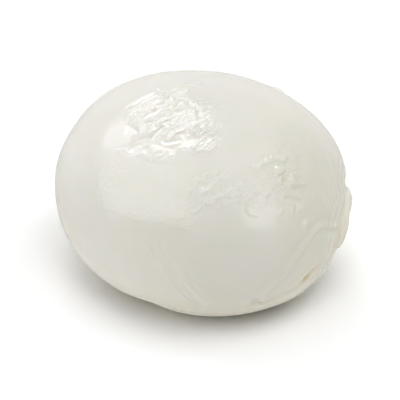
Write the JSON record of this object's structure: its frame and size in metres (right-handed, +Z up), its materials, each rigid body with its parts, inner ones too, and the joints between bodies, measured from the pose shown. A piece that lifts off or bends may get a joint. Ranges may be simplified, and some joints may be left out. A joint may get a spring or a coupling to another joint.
{
  "type": "mozzarella ball",
  "caption": "Ball of fresh soft cheese, a little wider than tall, pressed flat where it rests, with a creased glossy skin and a pinched-off scar on one side.",
  "frame": {"origin": "under the middle of the ball's bounding box, on the surface that it rests on", "axes": "+Z up; the crumpled, creased front faces -Y, and the scar where the ball was pinched off faces +X"},
  "size_m": [0.0678, 0.0648, 0.0473],
  "materials": {
    "curd": "soft milk-white curd under a thin wet glossy skin, slightly translucent"
  },
  "bodies": {
    "root": {"mozzarella_ball": "curd"}
  },
  "joints": []
}
